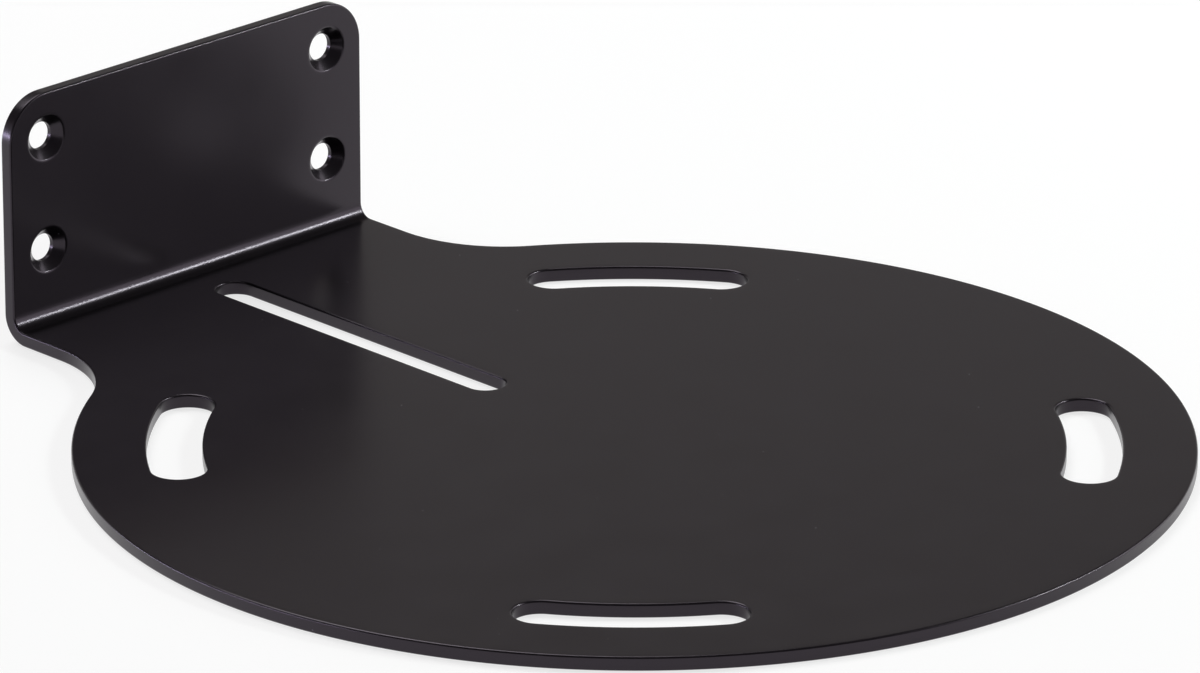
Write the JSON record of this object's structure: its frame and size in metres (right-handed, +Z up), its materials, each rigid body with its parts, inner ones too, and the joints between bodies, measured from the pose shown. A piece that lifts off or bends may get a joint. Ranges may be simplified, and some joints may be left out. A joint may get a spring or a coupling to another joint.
{
  "type": "subwoofer wall mount",
  "caption": "Folded steel wall bracket: an upright flange with countersunk screw holes and a flat round shelf with curved fixing slots and a long cable slot.",
  "frame": {"origin": "middle of the four screw holes, on the flange's wall face", "axes": "+Z up, +Y into the wall, so the shelf reaches out along -Y, and +X along the wall"},
  "size_m": [0.23, 0.253, 0.0535],
  "materials": {
    "powder_coat": "satin black powder coat on steel"
  },
  "bodies": {
    "root": {"mounting_plate": "powder_coat"}
  },
  "joints": []
}
